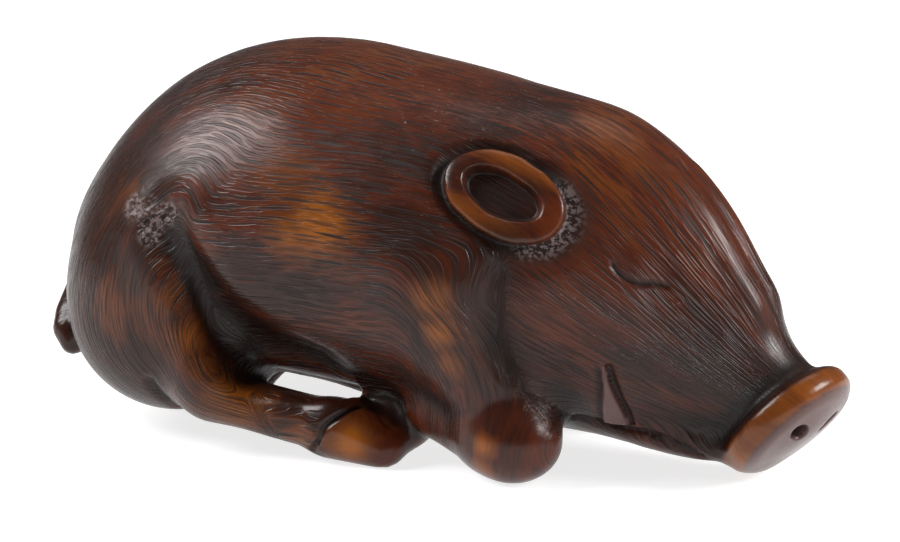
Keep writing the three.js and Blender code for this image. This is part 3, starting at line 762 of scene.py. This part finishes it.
def ramp_node(tree, value, low, high, out_low=0.0, out_high=1.0):
    node = tree.nodes.new("ShaderNodeMapRange")
    node.interpolation_type = "SMOOTHSTEP"
    numbers = dict(zip(("From Min", "From Max", "To Min", "To Max"), (low, high, out_low, out_high)))
    for name, number in numbers.items():
        node.inputs[name].default_value = number
    tree.links.new(value, node.inputs["Value"])
    return node.outputs["Result"]


def mix_node(tree, share, a, b, kind="MIX"):
    node = tree.nodes.new("ShaderNodeMix")
    node.data_type = "RGBA"
    node.blend_type = kind
    for socket, value in ((node.inputs[0], share), (node.inputs[6], a), (node.inputs[7], b)):
        if isinstance(value, tuple):
            socket.default_value = (*value, 1)
        elif isinstance(value, (int, float)):
            socket.default_value = value
        else:
            tree.links.new(value, socket)
    return node.outputs[2]


def noise_node(tree, place, scale, detail=2.0, roughness=0.5):
    node = tree.nodes.new("ShaderNodeTexNoise")
    node.inputs["Scale"].default_value = scale
    node.inputs["Detail"].default_value = detail
    node.inputs["Roughness"].default_value = roughness
    tree.links.new(place, node.inputs["Vector"])
    return node.outputs["Fac"]


def scaled_place(tree, place, scale, shift=(0, 0, 0)):
    node = tree.nodes.new("ShaderNodeMapping")
    node.inputs["Scale"].default_value = scale
    node.inputs["Location"].default_value = shift
    tree.links.new(place, node.inputs["Vector"])
    return node.outputs["Vector"]


def random_node(tree, x, y, z):
    pack = tree.nodes.new("ShaderNodeCombineXYZ")
    for socket, value in zip(pack.inputs, (x, y, z)):
        if isinstance(value, (int, float)):
            socket.default_value = value
        else:
            tree.links.new(value, socket)
    noise = tree.nodes.new("ShaderNodeTexWhiteNoise")
    tree.links.new(pack.outputs[0], noise.inputs["Vector"])
    split = tree.nodes.new("ShaderNodeSeparateColor")
    tree.links.new(noise.outputs["Color"], split.inputs[0])
    return split.outputs[:3]


# %% The engraved strokes, as a node group
def strokes_group():
    group = bpy.data.node_groups.new("engraved strokes", "ShaderNodeTree")
    ports = group.interface
    ports.new_socket("Coat", in_out="INPUT", socket_type="NodeSocketVector")
    for name, value in (("Pitch", 0.35), ("Length", 3.0), ("Width", 0.3), ("Slant", 0.3), ("Seed", 0.0)):
        ports.new_socket(name, in_out="INPUT", socket_type="NodeSocketFloat").default_value = value
    ports.new_socket("Groove", in_out="OUTPUT", socket_type="NodeSocketFloat")
    inside = group.nodes.new("NodeGroupInput")
    out = group.nodes.new("NodeGroupOutput")
    coat, pitch, length, width, slant, seed = inside.outputs[:6]
    split = group.nodes.new("ShaderNodeSeparateXYZ")
    group.links.new(coat, split.inputs[0])
    along, across, sideways = split.outputs
    side_sign = math_node(group, "GREATER_THAN", sideways, 0.0)
    seed = math_node(group, "MULTIPLY_ADD", side_sign, 7.3, seed)
    wave = noise_node(group, scaled_place(group, coat, (0.1, 0.25, 0.1)), 1.0, 1.0)
    wave = math_node(group, "SUBTRACT", wave, 0.5)
    row_place = math_node(group, "DIVIDE", math_node(group, "MULTIPLY_ADD", wave, 0.9, across), pitch)
    row = math_node(group, "FLOOR", row_place)
    in_row = math_node(group, "SUBTRACT", math_node(group, "SUBTRACT", row_place, row), 0.5)
    start, _, _ = random_node(group, row, seed, 1.0)
    start = math_node(group, "MULTIPLY", start, 9.0)
    part_place = math_node(group, "ADD", math_node(group, "DIVIDE", along, length), start)
    part = math_node(group, "FLOOR", part_place)
    in_part = math_node(group, "SUBTRACT", math_node(group, "SUBTRACT", part_place, part), 0.5)
    deep, lean, shift = random_node(group, row, part, seed)
    lean = math_node(group, "MULTIPLY", math_node(group, "SUBTRACT", lean, 0.5), slant)
    shift = math_node(group, "MULTIPLY", math_node(group, "SUBTRACT", shift, 0.5), 0.35)
    middle = math_node(group, "MULTIPLY_ADD", in_part, lean, shift)
    away = math_node(group, "ABSOLUTE", math_node(group, "SUBTRACT", in_row, middle))
    from_middle = math_node(group, "ABSOLUTE", math_node(group, "MULTIPLY", in_part, 2.0))
    taper = math_node(group, "SUBTRACT", 1.0, math_node(group, "POWER", from_middle, 2.5))
    reach = math_node(group, "MULTIPLY", width, math_node(group, "MAXIMUM", taper, 0.02))
    near = math_node(group, "SUBTRACT", 1.0, math_node(group, "DIVIDE", away, reach))
    near = math_node(group, "MAXIMUM", near, 0.0)
    near = ramp_node(group, near, 0.0, 0.5)
    depth = math_node(group, "MULTIPLY_ADD", deep, 0.75, 0.25)
    ends = math_node(group, "SQRT", math_node(group, "MAXIMUM", taper, 0.0))
    groove = math_node(group, "MULTIPLY", near, math_node(group, "MULTIPLY", depth, ends))
    group.links.new(groove, out.inputs[0])
    return group


STROKES = strokes_group()


def strokes(tree, coat, pitch, length, width, slant, seed):
    node = tree.nodes.new("ShaderNodeGroup")
    node.node_tree = STROKES
    tree.links.new(coat, node.inputs["Coat"])
    settings = dict(Pitch=pitch, Length=length, Width=width, Slant=slant, Seed=seed)
    for name, value in settings.items():
        node.inputs[name].default_value = value
    return node.outputs["Groove"]


# %% [markdown]
# The finish is boxwood under a dark stain, waxed. Dark brown is the base. It reddens where the stain is thin
# and turns orange where it is rubbed through. The engraved strokes hold dark stain, the cuts go almost black
# from stain and painted shade, and the hollows from painted shade alone. Worn crests between the strokes
# shine, so the strokes read as dark lines with pale edges. The grey on the chipped places and the mauve on
# the snout's face and the tusk are painted sheen.

# %% Stained boxwood
DARK = (0.026, 0.0068, 0.0034)
BLACK = (0.0068, 0.0036, 0.0025)
REDDISH = (0.08, 0.0138, 0.0034)
BROWN = (0.125, 0.032, 0.0052)
ORANGE = (0.3, 0.086, 0.006)
# painted sheen: grey for rough chipped places catching the light
PAINTED_GREY_SHEEN = (0.15, 0.11, 0.105)
# painted reflection: mauve sheen for the snout's face and the tusk
PAINTED_MAUVE_SHEEN = (0.12, 0.068, 0.062)
PALE = (0.34, 0.27, 0.24)


def boxwood():
    material = bpy.data.materials.new("stained_boxwood")
    material.use_nodes = True
    tree = material.node_tree
    shader = tree.nodes["Principled BSDF"]

    def value(name, output="Fac"):
        node = tree.nodes.new("ShaderNodeAttribute")
        node.attribute_name = name
        return node.outputs[output]

    def times(a, b):
        return math_node(tree, "MULTIPLY", a, b)

    def plus(a, b, share=1.0):
        return math_node(tree, "MULTIPLY_ADD", b, share, a)

    def larger(a, b):
        return math_node(tree, "MAXIMUM", a, b)

    coat = value("coat", "Vector")
    smooth, hollow_shade, cuts, rubbed = value("smooth"), value("hollow_shade"), value("cut"), value("rubbed")
    warm, chipped_here, tusk, face = value("warm"), value("chipped"), value("tusk"), value("face")
    place = tree.nodes.new("ShaderNodeTexCoord").outputs["Object"]
    grains = noise_node(tree, coat, 3.2, 2.0, 0.7)
    dust = times(value("dust"), ramp_node(tree, grains, 0.66, 0.72))

    hair = math_node(tree, "SUBTRACT", 1.0, smooth)
    coarse = strokes(tree, coat, 0.44, 2.9, 0.21, 0.55, 1.0)
    middle = strokes(tree, coat, 0.33, 2.1, 0.25, 0.5, 2.0)
    fine = strokes(tree, coat, 0.21, 1.2, 0.34, 0.4, 3.0)
    groove = larger(coarse, larger(times(middle, 0.85), times(fine, 0.35)))
    groove = times(groove, hair)

    cloud = noise_node(tree, scaled_place(tree, place, (190, 190, 190)), 1.0, 3.0, 0.55)
    stain = noise_node(tree, scaled_place(tree, coat, (0.2, 0.62, 0.2)), 1.0, 4.0, 0.6)
    pores = noise_node(tree, scaled_place(tree, coat, (0.9, 5.5, 0.8)), 1.0, 3.0, 0.6)
    speck = noise_node(tree, scaled_place(tree, place, (3200, 3200, 4200)), 1.0, 2.0, 0.6)

    # The stain is patchy, and thin where the boar is warm in colour or rubbed
    thin = plus(plus(math_node(tree, "SUBTRACT", stain, 0.62), cloud, 0.35), warm, 0.5)
    thin = plus(thin, math_node(tree, "SUBTRACT", pores, 0.5), 0.35)
    colour = mix_node(tree, ramp_node(tree, thin, 0.05, 0.42), DARK, REDDISH)
    colour = mix_node(tree, ramp_node(tree, thin, 0.3, 0.8), colour, BROWN)
    worn = plus(rubbed, math_node(tree, "SUBTRACT", stain, 0.5), 0.7)
    worn = plus(worn, math_node(tree, "SUBTRACT", pores, 0.5), 0.3)
    colour = mix_node(tree, ramp_node(tree, worn, 0.15, 0.55), colour, BROWN)
    colour = mix_node(tree, ramp_node(tree, worn, 0.45, 1.0), colour, ORANGE)
    # black for the stain in the strokes, the painted shade in the hollows, and stain with painted shade in
    # the cuts
    dark_share = larger(times(groove, 0.96), larger(times(hollow_shade, 0.9), times(cuts, 0.95)))
    colour = mix_node(tree, dark_share, colour, BLACK)
    # painted sheen: pale grey specks on the chipped knob and in the ear's channel
    grey_sheen_on_chips = times(ramp_node(tree, chipped_here, 0.25, 0.7), ramp_node(tree, speck, 0.46, 0.58))
    colour = mix_node(tree, grey_sheen_on_chips, colour, PAINTED_GREY_SHEEN)
    colour = mix_node(tree, times(dust, 0.5), colour, PALE)
    # painted reflection: a mauve sheen on the tusk and the snout's face
    colour = mix_node(tree, times(tusk, 0.85), colour, PAINTED_MAUVE_SHEEN)
    colour = mix_node(tree, times(face, 0.75), colour, PAINTED_MAUVE_SHEEN)
    tree.links.new(colour, shader.inputs["Base Color"])

    rough = plus(plus(plus(0.26, groove, 0.2), cuts, 0.25), chipped_here, 0.2)
    rough = plus(rough, math_node(tree, "SUBTRACT", cloud, 0.5), 0.2)
    tree.links.new(rough, shader.inputs["Roughness"])
    shader.inputs["Specular IOR Level"].default_value = 0.3

    height = plus(times(groove, -1.0), pores, 0.2)
    height = plus(height, times(chipped_here, speck), 1.5)
    bump = tree.nodes.new("ShaderNodeBump")
    bump.inputs["Distance"].default_value = 0.045 * MM
    bump.inputs["Strength"].default_value = 1.0
    tree.links.new(height, bump.inputs["Height"])
    tree.links.new(bump.outputs[0], shader.inputs["Normal"])
    return material


boar.data.materials.append(boxwood())
print("material nodes:", len(boar.data.materials[0].node_tree.nodes))

# %% [markdown]
# The studio: a pale floor, a dim white room and large soft lights. The floor glows a little near the boar, as
# a light table does, so its shadow stays faint. A wide light on the left lays the pale sheen on the rump, and
# one from the right draws the bright streak down the nose and on the knee.

# %% Floor, light and view
FLOOR_SIZE = 3.0
FLOOR_COLOUR = (0.45, 0.45, 0.45)
GLOW_NEAR, GLOW_FAR = 0.78, 0.2
GLOW_REACH = (0.13, 0.32)
GLOW_MIDDLE = (0.0, 0.05, 0.0)
WORLD_STRENGTH = 0.13

floor_mesh = bpy.data.meshes.new("floor")
bm = bmesh.new()
bmesh.ops.create_grid(bm, x_segments=1, y_segments=1, size=FLOOR_SIZE / 2)
bm.to_mesh(floor_mesh)
bm.free()
floor = bpy.data.objects.new("floor", floor_mesh)
bpy.context.collection.objects.link(floor)
floor_material = bpy.data.materials.new("floor")
floor_material.use_nodes = True
floor_shader = floor_material.node_tree.nodes["Principled BSDF"]
floor_shader.inputs["Base Color"].default_value = (*FLOOR_COLOUR, 1)
floor_shader.inputs["Roughness"].default_value = 0.9
floor_shader.inputs["Emission Color"].default_value = (1, 1, 1, 1)
floor_tree = floor_material.node_tree
from_middle = floor_tree.nodes.new("ShaderNodeVectorMath")
from_middle.operation = "DISTANCE"
from_middle.inputs[1].default_value = GLOW_MIDDLE
floor_place = floor_tree.nodes.new("ShaderNodeTexCoord").outputs["Object"]
floor_tree.links.new(floor_place, from_middle.inputs[0])
glow = ramp_node(floor_tree, from_middle.outputs["Value"], *GLOW_REACH, GLOW_NEAR, GLOW_FAR)
floor_tree.links.new(glow, floor_shader.inputs["Emission Strength"])
floor_mesh.materials.append(floor_material)

world = bpy.data.worlds.new("white room")
world.use_nodes = True
world.node_tree.nodes["Background"].inputs["Color"].default_value = (1, 1, 1, 1)
world.node_tree.nodes["Background"].inputs["Strength"].default_value = WORLD_STRENGTH
bpy.context.scene.world = world


def soft_light(name, place_mm, size_mm, watts):
    data = bpy.data.lights.new(name, "AREA")
    data.shape = "DISK"
    data.size = size_mm * MM
    data.energy = watts
    light = bpy.data.objects.new(name, data)
    light.location = placed(place_mm)
    light.rotation_euler = (LOOK_AT - light.location).to_track_quat("-Z", "Y").to_euler()
    bpy.context.collection.objects.link(light)


soft_light("wide light on the left", (-185, -80, 190), 175, 0.95)
soft_light("light on the right", (184, 56, 112), 100, 0.56)
soft_light("light above", (0, 120, 300), 180, 0.12)
bpy.context.scene.view_settings.view_transform = "Standard"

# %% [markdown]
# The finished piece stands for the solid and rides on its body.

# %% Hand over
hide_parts("boar")
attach(boar, "root")
